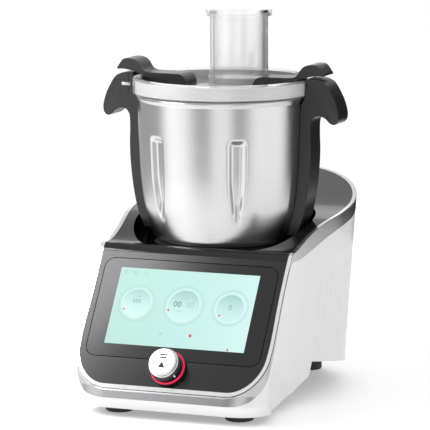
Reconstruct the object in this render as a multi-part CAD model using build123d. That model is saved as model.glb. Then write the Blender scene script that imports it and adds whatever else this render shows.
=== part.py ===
"""Counter-top cooking food processor: a base with a touch display and a knob, a heated steel
bowl with two handles, a clear lid with a feed tube, and the drive inside the base.

Millimetres. The origin is on the floor, on the axis of the bowl. The front faces -Y, +Z is up.
"""
from build123d import *
from math import cos, radians, sin
import os

os.makedirs("parts", exist_ok=True)

# ---------------------------------------------------------------- driving dimensions
# Display panel: a plane tilted back from the horizontal, its origin at the centre of the screen.
PANEL_TILT = 56.1
SCREEN_CENTRE = (0, -120.5, 108.9)
SCREEN = (154.2, 85.9)
LIP_V = 60.5                      # the panel ends here, along its slope, and the lip begins
KNOB_V = -66.5                    # centre of the knob along the slope
GLASS = (192.0, 110.0, 11.0)      # width, height and corner radius of the glass
GLASS_V = -2.0                    # centre of the glass along the slope
GLASS_GAP = 0.8                   # groove round the glass
COLLAR_R = 19.4                   # collar under the knob

# Base in plan
REAR_Y = 63.4                     # centre of the round rear
REAR_R = 119.0
TOP_Z = 230.0                     # above every part of the base
# Side wall stations: depth y, height of the top edge, half-width there, half-width at the floor
SIDE = [(-148, 68, 107.3, 101.5),
        (-118, 113, 107.3, 97.0),
        (-86, 160, 107.3, 93.5),
        (-45, 177.5, 107.6, 92.8),
        (-8, 188, 112.9, 98.5),
        (28, 196.5, 118.6, 104.6)]
REAR_FLOOR_R = 105.6
# Levels of the lofted base: height, front face, and the two radii of the front corners
LEVELS = [(8, -160, (36, 30)), (22, -175, (38, 27)), (33, -172, (38, 25)), (TOP_Z, -172, (38, 25))]
# Deck from the lip to the rear: depth y, height z
DECK = [(-78, 167.0), (-64, 168.3), (-48, 172.9), (-10, 185.0), (20, 190.5), (55, 194.2), (100, 203.0),
        (145, 213.8), (190, 223.5)]
LIP_CREST = (-81.9, 166.4)        # pulls the curve between the panel and the deck
# Lower edge of the silver band, and underside of the housing
BAND_FRONT = [(-190, 22.5), (-172, 24.0), (-160, 34.5), (-140, 67), (-110, 117), (-90, 149.9)]
BAND_TURN = (-85.3, 157.6)
BAND_REAR = [(-74, 157.6), (-45, 158.0), (-20, 163.9), (0, 170.0), (27, 176.2), (60, 180.2), (100, 188.5),
             (145, 199.5), (190, 209.5)]
UNDERSIDE = [(-190, 9), (-100, 9), (-45, 14), (-12, 25), (-8, 40), (97, 22), (190, 9)]

FEET = [(66.6, -129, 15.0), (45, 140, 13.5)]

RIBBON_OUT, RIBBON_IN = 0.7, 4.4  # insets of the bright ribbons from the wall
RIBBON_DEEP = 2.0
COVER_TOP, COVER_DEEP = 0.3, 2.8  # top covers lie this far under the ribbons' top
COVER_INSET = 4.45
WALL = 3.0
JOINT_Y = -78.0                   # front and deck ribbons meet

# Well for the bowl
WELL_R, WELL_Z = 96.5, 164.0
SEAT_R, SEAT_Z = 76.0, 150.0

# Bowl
BOWL_TOP = 320.0
BOWL_SIDE = [(66, 165.2), (76.5, 172), (81.6, 191), (85.4, 207), (88.5, 232), (90.3, 265), (92, 312)]
STEEL = 1.2
BOWL_FLOOR = 166.4
HANDLE_HALF = 15.0
HANDLE_SCREW_Z = 204.0
HANDLE = [(98.6, 339.6), (110, 339.2), (119, 334.7), (124.8, 324.8), (129.9, 314.8), (133.2, 301.4),
          (131.6, 294.6), (127.5, 291.8), (122.6, 294.0), (118.6, 298.6), (111, 302), (105, 300.6),
          (102, 295), (101.6, 280), (102.4, 262), (101.2, 240), (98.4, 216), (94, 194), (86, 174)]

# Lid
LID_R, LID_LOW, LID_TOP = 96.4, 321.2, 337.0
PLATE_LOW, PLATE_TOP = 324.6, 327.0
TUBE_Y, TUBE_R, TUBE_TOP = 42.7, 31.4, 401.6
CUP_R, CUP_TOP = 27.9, 405.0
ARM = [(37, 327.0), (37.5, 331.5), (39.5, 335.5), (43, 338.2), (47.5, 339.4), (82, 339.4), (86.5, 341.5),
       (91.5, 350), (97, 353.6), (104, 354.3), (109.7, 353.6), (114, 347), (118, 341.6), (109.3, 342.6), (102.6, 341.2), (97, 340.6),
       (88, 336), (88, 327.0)]
ARM_HALF = 15.0

# Fittings of the rear wall, turned this far round it, and the rocker's pivot
ROCKER_TURN, VENT_TURN = 26.0, -26.0
ROCKER_PIVOT = (100.6, 51.0)
ROCKER_R, ROCKER_REST = 8.2, 6.0
BOARD_Z = 30.0                    # underside of the main board

# Drive
MOTOR_Y = 108.0
MOTOR_R = 38.0
MOTOR_PULLEY_R, DRIVEN_PULLEY_R = 9.0, 31.5
BELT_THICK, BELT_WIDE = 2.4, 9.0
PULLEY_LOW, PULLEY_HIGH = 56.0, 70.0
SHAFT_R = 4.0
FIT = 0.05                        # radial clearance of a running fit
GAP = 0.3                         # clearance between separate bodies

tilt_cos, tilt_sin = cos(radians(PANEL_TILT)), sin(radians(PANEL_TILT))
PANEL = Plane(origin=SCREEN_CENTRE, x_dir=(1, 0, 0), z_dir=(0, -tilt_sin, tilt_cos))


# ---------------------------------------------------------------- helpers
def save(name, *pieces):
    """Write one node; its pieces stay separate solids."""
    solids = [solid for piece in pieces for solid in piece.solids()]
    export_step(solids[0] if len(solids) == 1 else Compound(solids), f"parts/{name}.step")


def both_sides(solid):
    """A solid and its mirror image in the middle plane."""
    return solid, mirror(solid, about=Plane.YZ)


def across(edges, reach=160):
    """Extrude an outline drawn in (y, z) to both sides."""
    return extrude(Plane.YZ * make_face(edges), reach, both=True)


def slab(edges, half):
    """Extrude an outline drawn in (x, z) to -Y and +Y."""
    return extrude(Plane.XZ * make_face(edges), half, both=True)


def turned(points):
    """Revolve a closed polygon of (radius, height) points about the bowl axis."""
    return revolve(Plane.XZ * make_face(Polyline(*points, close=True)), Axis.Z)


def ring(outer, inner, low, high, at=(0, 0)):
    """A plain ring about a vertical axis."""
    body = Pos(at[0], at[1], low) * Cylinder(outer, high - low, align=(Align.CENTER, Align.CENTER, Align.MIN))
    return body - Pos(at[0], at[1], low - 1) * Cylinder(
        inner, high - low + 2, align=(Align.CENTER, Align.CENTER, Align.MIN))


def rod(radius, low, high, at=(0, 0)):
    """A plain vertical cylinder."""
    return Pos(at[0], at[1], low) * Cylinder(radius, high - low, align=(Align.CENTER, Align.CENTER, Align.MIN))


def block(x, y, z):
    """A box from three (low, high) pairs."""
    return Pos(x[0], y[0], z[0]) * Box(x[1] - x[0], y[1] - y[0], z[1] - z[0], align=Align.MIN)


def softened(solid, edges, *radii):
    """Fillet the edges with the first radius that the shape takes."""
    for radius in radii:
        try:
            result = fillet(edges, radius)
            if result.is_valid:
                return result
        except Exception:
            pass
    return solid


def panel_point(v, depth=0.0):
    """Point (y, z) at a height v along the panel's slope, under its face."""
    return (SCREEN_CENTRE[1] + v * tilt_cos + depth * tilt_sin,
            SCREEN_CENTRE[2] + v * tilt_sin - depth * tilt_cos)


# ---------------------------------------------------------------- base volume
def outline(z, front, corner, inset):
    """Plan outline of the base at one height, drawn in by an inset."""
    front += 0.6 * inset
    corner_x, corner_y = corner[0] - inset, corner[1] - 0.6 * inset
    width = [low + (top_width - low) * z / top - inset for _, top, top_width, low in SIDE]
    side = [(width[0], front + corner_y)] + [(w, s[0]) for w, s in zip(width[1:], SIDE[1:])]
    rear = REAR_FLOOR_R + (REAR_R - REAR_FLOOR_R) * z / 205 - inset
    start_x, pull = width[0] - corner_x, 0.45
    bend = [(start_x, front), (width[0] - pull * corner_x, front), (width[0], front + pull * corner_y), side[0]]
    half = [Bezier(*bend), Spline(*side, (rear, REAR_Y), tangents=[(0, 1), (0, 1)])]
    other = [mirror(edge, about=Plane.YZ) for edge in half]
    rear_arc = ThreePointArc((rear, REAR_Y), (0, REAR_Y + rear), (-rear, REAR_Y))
    return Pos(0, 0, z) * make_face([Line((-start_x, front), (start_x, front)), *half, rear_arc, *other])


def base_volume(inset):
    """The drafted block that the whole base is cut from."""
    return loft([outline(z, front, corner, inset) for z, front, corner in LEVELS], ruled=True)


def under_top(depth):
    """Everything below the panel, lip and deck, at a depth under their surface."""
    foot, head = panel_point(-150, depth), panel_point(LIP_V, depth)
    deck = [(y, z - depth) for y, z in DECK]
    crest = (LIP_CREST[0] + 0.35 * depth, LIP_CREST[1] - 0.95 * depth)
    return across([Line((foot[0], -30), foot), Line(foot, head), Bezier(head, crest, deck[0]), Spline(*deck),
                   Line(deck[-1], (DECK[-1][0], -30)), Line((DECK[-1][0], -30), (foot[0], -30))])


def under_band():
    """Everything below the lower edge of the silver band."""
    reach = 190
    return across([Spline(*BAND_FRONT), Bezier(BAND_FRONT[-1], BAND_TURN, BAND_REAR[0]), Spline(*BAND_REAR),
                   Line(BAND_REAR[-1], (reach, -30)), Line((reach, -30), (-reach, -30)),
                   Line((-reach, -30), BAND_FRONT[0])])


def under_floor(lift=0.0):
    """Everything below the underside of the housing."""
    points = [(y, z + lift) for y, z in UNDERSIDE]
    return across(Polyline(*points, (190, -40), (-190, -40), close=True))


def in_front_of(y):
    return block((-160, 160), (-260, y), (-40, 300))


def at_rear(turn):
    """Place of a rear fitting, drawn with +Y pointing out of the round rear wall."""
    return Pos(0, REAR_Y, 0) * Rot(0, 0, -turn)


# ---------------------------------------------------------------- casing of the base
layer_top = under_top(0)
ribbon_ring = (base_volume(RIBBON_OUT) - base_volume(RIBBON_IN)) & layer_top - under_top(RIBBON_DEEP)
front_half = in_front_of(JOINT_Y)
front_ribbon = ribbon_ring & front_half
deck_ribbon = ribbon_ring - in_front_of(JOINT_Y + 0.4)
save("front_ribbon", front_ribbon)
save("deck_ribbon", deck_ribbon)

side_trim = ((base_volume(0) - base_volume(WALL)) & (under_top(0.5) - under_band())) - ribbon_ring
save("side_trim", side_trim)

shell_outer, shell_inner = base_volume(0.3), base_volume(0.3 + WALL)
wall_ring = shell_outer - shell_inner
housing = (wall_ring & (under_band() - under_floor())) - ribbon_ring
inlet_hole = block((-16, 16), (150, 190), (40, 62))
rocker_hole = at_rear(ROCKER_TURN) * block((-8.5, 8.5), (80, 120), (40, 62))
vent_hole = at_rear(VENT_TURN) * block((-20, 20), (90, 120), (60, 92))
housing -= inlet_hole + rocker_hole + vent_hole
save("housing_shell", housing)

vent = wall_ring & at_rear(VENT_TURN) * block((-19.8, 19.8), (90, 120), (60.2, 91.8))
for slot in range(6):
    vent -= at_rear(VENT_TURN) * block((-16, 16), (90, 120), (64 + 4.4 * slot, 66 + 4.4 * slot))
save("rear_vent", vent)

floor_plate = shell_inner & (under_floor(4.2) - under_floor(1.2))
for x, y in ((54, -112), (-54, -112), (60, -40), (-60, -40)):
    floor_plate += rod(3.0, 8, BOARD_Z, (x, y)) - under_floor(4.2)
for y in (60, 70, 80):
    floor_plate -= block((-32, 32), (y, y + 4), (10, 60))
save("bottom_plate", floor_plate)

cover_zone = base_volume(COVER_INSET) & (under_top(COVER_TOP) - under_top(COVER_DEEP))
lip_front = panel_point(LIP_V + 1.5)[0]
well = rod(WELL_R, WELL_Z, 260)
behind_joint = block((-160, 160), (JOINT_Y + 0.2, 200), (0, 300))
deck_cover = (cover_zone & behind_joint) - well
save("deck_cover", deck_cover)
save("front_lip", cover_zone & block((-160, 160), (lip_front, JOINT_Y), (0, 300)))

bezel = cover_zone & in_front_of(lip_front - 0.3)
glass_face = Pos(0, GLASS_V) * RectangleRounded(*GLASS)
glass_hole = offset(glass_face, GLASS_GAP)
window = PANEL * Pos(0, 0, -5) * extrude(glass_hole, 8)
collar_hole = PANEL * Pos(0, KNOB_V, -3) * Cylinder(COLLAR_R + 0.1, 10)
bezel = bezel - window - collar_hole
save("front_bezel", bezel)

glass = PANEL * Pos(0, 0, -1.8) * extrude(glass_face, 1.5)
save("display_glass", glass - collar_hole)
lcd = PANEL * Pos(0, 0, -4.4) * Box(SCREEN[0] + 12, SCREEN[1] + 6, 5.0)
save("display_panel", lcd)
circuit = PANEL * Pos(0, -2, -13.0) * Box(150, 92, 1.6)
chips = [PANEL * Pos(u, v, -15.3) * Box(w, h, 3.0)
         for u, v, w, h in ((-40, 10, 24, 24), (0, 14, 18, 12), (36, -8, 30, 16), (-20, -28, 16, 10))]
save("display_board", circuit, *chips)

# ---------------------------------------------------------------- knob
knob = PANEL * Pos(0, KNOB_V, 0)


def on_knob(shape):
    """Place a shape drawn about the knob's own axis."""
    return knob * shape


collar = rod(COLLAR_R, -2.8, 2.0) - rod(10.0, -4, 4)
save("knob_collar", on_knob(collar))
light_ring = ring(18.4, 12.4, 2.0, 4.4)
light_ring = softened(light_ring, light_ring.edges().group_by(Axis.Z)[-1], 0.8, 0.5)
save("knob_light_ring", on_knob(light_ring))
encoder_body = block((-7, 7), (-7, 7), (-16, -4)) - rod(3.0 + FIT, -10, 4)
encoder_body += ring(5.0, 3.0 + FIT, -4, 1.0)
save("encoder_body", on_knob(encoder_body))
encoder_shaft = rod(3.0, -8.6, 15.0)
save("encoder_shaft", on_knob(encoder_shaft))
skirt = ring(16.6, 3.0 + FIT, 6.2, 12.0)
skirt = softened(skirt, skirt.edges().group_by(Axis.Z)[-1].sort_by(SortBy.RADIUS)[-1:], 1.6, 1.0)
save("knob_skirt", on_knob(skirt))
knob_cap = rod(16.0, 12.3, 19.6) - rod(3.0 + FIT, 11, 15.3)
knob_cap = softened(knob_cap, knob_cap.edges().group_by(Axis.Z)[-1], 1.2, 0.8)
save("knob_cap", on_knob(knob_cap))

# ---------------------------------------------------------------- well and drive
seat_profile = [(SEAT_R, SEAT_Z - 3), (SEAT_R + 3, SEAT_Z - 3), (SEAT_R + 3, WELL_Z - 3),
                (WELL_R + 2.5, WELL_Z - 3), (WELL_R + 2.5, 230), (WELL_R, 230), (WELL_R, WELL_Z),
                (SEAT_R, WELL_Z), (SEAT_R, SEAT_Z), (16, SEAT_Z), (16, SEAT_Z - 3)]
tub = turned(seat_profile) & under_top(COVER_DEEP) & block((-160, 160), (JOINT_Y, 160), (0, 300))
tub -= block((-17, 17), (44, 60), (140, 152))
save("bowl_seat", tub)
save("coupling_seal", ring(16.0, 14.0, SEAT_Z - 3, SEAT_Z + 1.0))
save("bowl_connector", block((-16.8, 16.8), (44.2, 59.8), (138, 156)))

spindle_housing = ring(16.0, 11.0, 96, 141) + ring(34.0, 11.0, 141, SEAT_Z - 3)
save("spindle_housing", spindle_housing)
save("spindle_bearings", *[ring(11.0, SHAFT_R + FIT, low, low + 7) for low in (98, 132)])
save("spindle_shaft", rod(SHAFT_R, PULLEY_LOW - 4, 152.0))
coupling = rod(13.0, 148.0, 160.0) - rod(SHAFT_R, 140, 152.0) - rod(9.4, 153.0, 165)
save("drive_coupling", coupling)


def pulley(radius, at):
    """Toothless belt pulley with two flanges and a bore."""
    body = rod(radius, PULLEY_LOW, PULLEY_HIGH, at)
    for low in (PULLEY_LOW, PULLEY_HIGH - 1.6):
        body += rod(radius + 2.5, low, low + 1.6, at)
    return body - rod(SHAFT_R, PULLEY_LOW - 1, PULLEY_HIGH + 1, at)


save("driven_pulley", pulley(DRIVEN_PULLEY_R, (0, 0)))
save("motor_pulley", pulley(MOTOR_PULLEY_R, (0, MOTOR_Y)))


def belt_loop(extra):
    """Plan of the belt's loop round both pulleys, its edge this far outside their rims."""
    big = Pos(0, 0) * Circle(DRIVEN_PULLEY_R + extra)
    small = Pos(0, MOTOR_Y) * Circle(MOTOR_PULLEY_R + extra)
    lean = (DRIVEN_PULLEY_R - MOTOR_PULLEY_R) / MOTOR_Y
    rise = (1 - lean * lean) ** 0.5
    big_r, small_r = DRIVEN_PULLEY_R + extra, MOTOR_PULLEY_R + extra
    sides = [(big_r * rise, big_r * lean), (small_r * rise, MOTOR_Y + small_r * lean),
             (-small_r * rise, MOTOR_Y + small_r * lean), (-big_r * rise, big_r * lean)]
    return big + small + make_face(Polyline(*sides, close=True))


belt_low = (PULLEY_LOW + PULLEY_HIGH - BELT_WIDE) / 2
belt = extrude(belt_loop(GAP + BELT_THICK - 0.6), BELT_WIDE) - extrude(belt_loop(GAP), BELT_WIDE)
save("drive_belt", Pos(0, 0, belt_low) * belt)

stator = ring(MOTOR_R, MOTOR_R - 12, 82, 126, (0, MOTOR_Y)) + ring(MOTOR_R, 11, 76, 82, (0, MOTOR_Y))
stator += ring(MOTOR_R, 11, 126, 131, (0, MOTOR_Y))
save("motor_stator", stator)
save("motor_bearings", *[ring(11.0, SHAFT_R + FIT, low, low + 7, (0, MOTOR_Y)) for low in (75, 125)])
save("motor_shaft", rod(SHAFT_R, PULLEY_LOW - 2, 145, (0, MOTOR_Y)) + rod(24, 84, 124, (0, MOTOR_Y)))
fan = ring(10, SHAFT_R, 134, 145, (0, MOTOR_Y)) + ring(32, SHAFT_R, 134, 135.5, (0, MOTOR_Y))
for turn in range(0, 360, 45):
    blade = Rot(0, 0, turn) * Pos(20, 0, 139.5) * Rot(0, 0, 24) * Box(24, 1.6, 9)
    fan += Pos(0, MOTOR_Y, 0) * blade
save("cooling_fan", fan)

bracket = block((-36, 36), (66, 139), (71.5, 75)) - rod(14, 60, 90, (0, MOTOR_Y))
for x, y in ((-31, 70), (31, 70), (-31, 134), (31, 134)):
    bracket += rod(4.0, 15, 71.5, (x, y)) - under_floor(4.2)
save("motor_bracket", bracket)

BOARD_TOP = BOARD_Z + 1.6
save("main_board", block((-66, 66), (-118, -34), (BOARD_Z, BOARD_TOP)),
     *[block((x, x + w), (y, y + d), (BOARD_TOP, BOARD_TOP + h)) for x, y, w, d, h in
       ((-58, -110, 30, 26, 24), (-20, -112, 22, 22, 14), (14, -108, 40, 20, 18), (-54, -70, 26, 22, 10),
        (-14, -72, 18, 18, 4), (16, -74, 36, 30, 22))])
cells = [block((x - 5, x + 5), (y - 20, y + 20), (z, z + 6)) - under_floor(4.2) for x, y, z in
         ((66.6, -127, 13.2), (-66.6, -127, 13.2), (50, 118, 23), (-50, 118, 23))]
save("load_cells", *cells)

feet = []
for x, y, radius in FEET:
    for side in (-1, 1):
        stem = rod(radius, 0, 24, (side * x, y)) & under_floor(1.2)
        stem = softened(stem, stem.edges().group_by(Axis.Z)[0], 2.5, 1.5)
        feet.append(stem - wall_ring)
save("feet", *feet)

# ---------------------------------------------------------------- rear of the base
INLET_FACE = 171.4
inlet = block((-15.8, 15.8), (148, INLET_FACE), (40.2, 61.8)) - block((-12, 12), (152, 180), (43, 59))
for pin_x, pin_z in ((-7, 49), (7, 49), (0, 54)):
    inlet += block((pin_x - 1, pin_x + 1), (152, 161), (pin_z, pin_z + 4))
save("power_inlet", inlet)

rocker_place = at_rear(ROCKER_TURN) * Pos(0, *ROCKER_PIVOT)
frame_body = block((-8.3, 8.3), (-12, 8.6), (-10.8, 10.8)) - block((-6.6, 6.6), (-9, 12), (-8.6, 8.6))
save("rocker_frame", rocker_place * frame_body)
wedge = Polyline((-9, -9), (7.4, -9), (5.4, 0), (7.4, 9), (-9, 9), close=True)
rocker = across(wedge, 6.2) & Rot(0, 90, 0) * Cylinder(ROCKER_R, 12.4)
save("power_rocker", rocker_place * Rot(-ROCKER_REST, 0, 0) * rocker)

screw_places = [(78, -92), (-78, -92), (36, -146), (-36, -146), (86, 60), (-86, 60), (16, 156), (-16, 156)]
screws = [rod(3.5, -2, 45, place) & (under_floor(1.2) - under_floor(-1.0)) for place in screw_places]
save("housing_screws", *screws)

# ---------------------------------------------------------------- bowl
wall_out = Spline(*BOWL_SIDE)
bowl_outer_face = make_face([wall_out, Line(BOWL_SIDE[-1], (92, BOWL_TOP)), Line((92, BOWL_TOP), (0, BOWL_TOP)),
                             Line((0, BOWL_TOP), (0, BOWL_SIDE[0][1])), Line((0, BOWL_SIDE[0][1]), BOWL_SIDE[0])])
bowl_outer = revolve(Plane.XZ * bowl_outer_face, Axis.Z)
inner_side = [(r - STEEL, z + STEEL * 0.4) for r, z in BOWL_SIDE]
inner_side[0] = (BOWL_SIDE[0][0], BOWL_FLOOR)
inner_face = make_face([Spline(*inner_side), Line(inner_side[-1], (92 - STEEL, BOWL_TOP + 5)),
                        Line((92 - STEEL, BOWL_TOP + 5), (0, BOWL_TOP + 5)),
                        Line((0, BOWL_TOP + 5), (0, BOWL_FLOOR)), Line((0, BOWL_FLOOR), inner_side[0])])
bowl_inner = revolve(Plane.XZ * inner_face, Axis.Z)
rim = revolve(Plane.XZ * (Pos(92.2, BOWL_TOP - 2.6) * Circle(2.0)), Axis.Z)
bowl_shell = (bowl_outer & rod(120, 0, BOWL_TOP - 2)) - bowl_inner + (rim - bowl_inner)
bowl_shell -= rod(15.0, 150, 180)
save("bowl_shell", bowl_shell)

base_ring = [(58, SEAT_Z + 0.4), (73, SEAT_Z + 0.4), (75, SEAT_Z + 3), (75, 162.0), (70, 165.2), (64, 165.2),
             (64, SEAT_Z + 3.4), (58, SEAT_Z + 3.4)]
bowl_base = turned(base_ring) + ring(60, 18, SEAT_Z + 0.4, SEAT_Z + 3.4)
bowl_base -= block((-18, 18), (43, 62), (140, 158))
bowl_base = bowl_base - bowl_outer
save("bowl_base", bowl_base)
save("heater_plate", ring(60, 20, 161.4, BOWL_SIDE[0][1]))
save("bowl_contacts", block((-15, 15), (46, 58), (156.4, 161.4)))

handle_outline = [Polyline(*HANDLE), Line(HANDLE[-1], (70, 174)), Line((70, 174), (70, 318)),
                  Line((70, 318), (96, 321)), Line((96, 321), HANDLE[0])]


def make_handle():
    """Right handle: a hooked grip and the long bracket that it grows out of."""
    return slab(handle_outline, HANDLE_HALF) - turned([(0, 318), (95, 318), (97.4, 320.2), (97.4, 345), (0, 345)])


handle = make_handle() - bowl_outer - rim
handle = max(handle.solids(), key=lambda s: s.volume)
long_edges = [edge for edge in handle.edges()
              if abs(abs(edge.center().Y) - HANDLE_HALF) < 0.01 and edge.center().X > 96]
handle = softened(handle, long_edges, 3.5, 2.5, 1.5)
level = Rot(0, 90, 0)
handle_screw = Pos(89.5, 0, HANDLE_SCREW_Z) * level * Cylinder(2.0, 9)
handle_screw += Pos(95, 0, HANDLE_SCREW_Z) * level * Cylinder(3.4, 2.4)
handle_screw -= bowl_outer
handle -= handle_screw + Pos(98, 0, HANDLE_SCREW_Z) * level * Cylinder(3.4, 4)
save("handle_screws", *both_sides(handle_screw))
right_handle, left_handle = both_sides(handle)
save("handle_right", right_handle)
save("handle_left", left_handle)
save("latch_pin", block((-110.6, -100.8), (-16.2, -15.0), (325.2, 328.4)))

# ---------------------------------------------------------------- blades
bush = ring(15.0, 5.0 + FIT, 161.0, 172.0) + ring(19.0, 5.0 + FIT, BOWL_FLOOR, 169.0)
save("blade_bush", bush)
blade_shaft = rod(5.0, 156, 214) + rod(9.0, 154.0, 160.6)
save("blade_shaft", blade_shaft)


def blade(turn, height, rise, length):
    """One flat blade, tilted up by an angle, on the hub."""
    plate = make_face(Polyline((0, -9), (length * 0.75, -9), (length, -2), (length * 0.9, 4), (0, 9), close=True))
    return Rot(0, 0, turn) * Pos(0, 0, height) * Rot(0, -rise, 0) * extrude(plate, 2.0)


hub = ring(11, 5.0, 174, 206)
blades = hub
for turn, height, rise, length in ((20, 180, 8, 56), (200, 180, 8, 56), (110, 194, 28, 48), (290, 194, 28, 48)):
    blades += blade(turn, height, rise, length) - rod(5.0, 150, 260)
save("blade_set", blades)

# ---------------------------------------------------------------- lid
lid_profile = [(0, PLATE_LOW), (90.6, PLATE_LOW), (90.6, LID_TOP - 2), (94.4, LID_TOP - 2), (94.4, LID_LOW),
               (LID_R, LID_LOW), (LID_R, LID_TOP - 1.2), (LID_R - 1.2, LID_TOP), (89.8, LID_TOP),
               (88.6, LID_TOP - 1.2), (88.6, PLATE_TOP), (0, PLATE_TOP)]
lid = turned(lid_profile)
tube_at = (0, TUBE_Y)
lid += rod(TUBE_R, PLATE_LOW, TUBE_TOP, tube_at) + rod(TUBE_R + 4.3, TUBE_TOP - 3.4, TUBE_TOP, tube_at)
lid += rod(TUBE_R + 1.2, PLATE_LOW, PLATE_TOP + 6, tube_at)
lid -= rod(TUBE_R - 2.0, 300, 420, tube_at)
arm_screws = [rod(1.6, PLATE_LOW, 334, (x, 0)) + rod(3.2, PLATE_LOW - 1.4, PLATE_LOW, (x, 0)) for x in (54, 76)]
for arm_screw in arm_screws:
    lid = lid - arm_screw - mirror(arm_screw, about=Plane.YZ)
save("arm_screws", *[half for arm_screw in arm_screws for half in both_sides(arm_screw)])
save("lid_cover", lid)
seal_profile = [(85.6, 312), (89.4, 312), (89.8, 318), (90.0, PLATE_LOW - GAP), (85.0, PLATE_LOW - GAP), (85.0, 320)]
save("lid_seal", turned(seal_profile))

arm_block = slab(Polyline(*ARM, close=True), ARM_HALF)
arm_block = arm_block - turned([(0, 300), (LID_R, 300), (LID_R, LID_TOP), (88.6, LID_TOP), (88.6, PLATE_TOP),
                                (0, PLATE_TOP)])
arm_block = max(arm_block.solids(), key=lambda s: s.volume)
side_edges = [edge for edge in arm_block.edges()
              if abs(abs(edge.center().Y) - ARM_HALF) < 0.01 and edge.center().Z > 338]
arm_block = softened(arm_block, side_edges, 3.0, 2.0, 1.0)
arm_block = arm_block - arm_screws[0] - arm_screws[1]
right_arm, left_arm = both_sides(arm_block)
save("lid_arm_right", right_arm)
save("lid_arm_left", left_arm)

cup = rod(CUP_R, 331, CUP_TOP, tube_at) + rod(TUBE_R + 3.8, TUBE_TOP + GAP, CUP_TOP, tube_at)
cup -= rod(CUP_R - 1.8, 333, CUP_TOP + 1, tube_at)
save("measuring_cup", cup)
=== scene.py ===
from math import cos, pi, radians, sin, sqrt

import bmesh
import bpy
from mathutils import Matrix, Vector


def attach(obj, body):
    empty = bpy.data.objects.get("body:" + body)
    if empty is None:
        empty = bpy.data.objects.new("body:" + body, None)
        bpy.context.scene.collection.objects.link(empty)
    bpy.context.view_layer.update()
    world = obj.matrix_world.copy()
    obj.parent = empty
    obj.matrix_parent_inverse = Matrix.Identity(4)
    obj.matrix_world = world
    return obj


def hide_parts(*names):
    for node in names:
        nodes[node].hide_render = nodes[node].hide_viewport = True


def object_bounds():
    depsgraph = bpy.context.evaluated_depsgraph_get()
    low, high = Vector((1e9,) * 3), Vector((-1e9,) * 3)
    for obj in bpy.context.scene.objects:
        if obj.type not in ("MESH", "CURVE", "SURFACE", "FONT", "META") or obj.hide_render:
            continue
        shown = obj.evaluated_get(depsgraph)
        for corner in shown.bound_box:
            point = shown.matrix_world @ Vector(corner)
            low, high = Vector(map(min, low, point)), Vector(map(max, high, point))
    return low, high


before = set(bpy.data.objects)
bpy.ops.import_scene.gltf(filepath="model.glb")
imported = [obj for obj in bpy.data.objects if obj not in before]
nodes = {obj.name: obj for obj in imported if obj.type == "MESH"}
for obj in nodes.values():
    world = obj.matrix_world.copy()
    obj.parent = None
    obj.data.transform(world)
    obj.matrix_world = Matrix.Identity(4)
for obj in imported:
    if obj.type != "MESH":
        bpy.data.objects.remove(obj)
cad_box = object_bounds()
MM = 0.001

# ------------------------------------------------------------------ shapes shared with the frame (mm)
PANEL_TILT = radians(56.1)
SCREEN_CENTRE = Vector((0, -120.5, 108.9))
SCREEN_W, SCREEN_H = 154.2, 85.9
PANEL_UP = Vector((0, cos(PANEL_TILT), sin(PANEL_TILT)))
PANEL_OUT = Vector((0, -sin(PANEL_TILT), cos(PANEL_TILT)))
GLASS_FACE = -0.3                 # face of the glass under the panel's plane
KNOB_V = -66.5
KNOB_FACE = 19.58

REAR_Y, REAR_R, REAR_FLOOR_R = 63.4, 119.0, 105.6
REAR_TOP = 205.0
SIDE = [(-148, 68, 107.3, 101.5), (-118, 113, 107.3, 97.0), (-86, 160, 107.3, 93.5),
        (-45, 177.5, 107.6, 92.8), (-8, 188, 112.9, 98.5), (28, 196.5, 118.6, 104.6)]
LEVELS = [(8, -160, 36, 30), (22, -175, 38, 27), (33, -172, 38, 25), (230, -172, 38, 25)]
BAND_FRONT = [(-190, 22.5), (-172, 24.0), (-160, 34.5), (-140, 67), (-110, 117), (-90, 149.9)]
BAND_TURN = (-85.3, 157.6)
BAND_REAR = [(-74, 157.6), (-45, 158.0), (-20, 163.9), (0, 170.0), (27, 176.2), (60, 180.2), (100, 188.5),
             (145, 199.5), (190, 209.5)]
UNDERSIDE = [(-190, 9), (-100, 9), (-45, 14), (-12, 25), (-8, 40), (97, 22), (190, 9)]
WALL = 3.0
SHELL_INSET = 0.3


# ------------------------------------------------------------------ small helpers
def panel(u, v, h=0.0):
    """A place on the display panel: across, up the slope, and out from it; in mm."""
    return SCREEN_CENTRE + Vector((u, 0, 0)) + PANEL_UP * v + PANEL_OUT * h


def smoothstep(low, high, value):
    """Smooth change from 0 at low to 1 at high; low may be the greater."""
    t = min(max((value - low) / (high - low), 0.0), 1.0)
    return t * t * (3 - 2 * t)


def straight(points, x):
    """Height of a polyline of (x, height) points."""
    for (x0, z0), (x1, z1) in zip(points, points[1:]):
        if x <= x1:
            return z0 + (z1 - z0) * (x - x0) / (x1 - x0)
    return points[-1][1]


def curve_through(points):
    """A smooth function of x through (x, height) points."""
    xs, zs = [p[0] for p in points], [p[1] for p in points]
    steps = [(b - a) / (d - c) for a, b, c, d in zip(zs, zs[1:], xs, xs[1:])]
    slopes = [steps[0]] + [(a + b) / 2 for a, b in zip(steps, steps[1:])] + [steps[-1]]

    def height(x):
        i = max(k for k in range(len(xs) - 1) if k == 0 or xs[k] <= x)
        span = xs[i + 1] - xs[i]
        t = min(max((x - xs[i]) / span, 0), 1)
        return ((2 * t**3 - 3 * t**2 + 1) * zs[i] + (t**3 - 2 * t**2 + t) * span * slopes[i]
                + (3 * t**2 - 2 * t**3) * zs[i + 1] + (t**3 - t**2) * span * slopes[i + 1])
    return height


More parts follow.
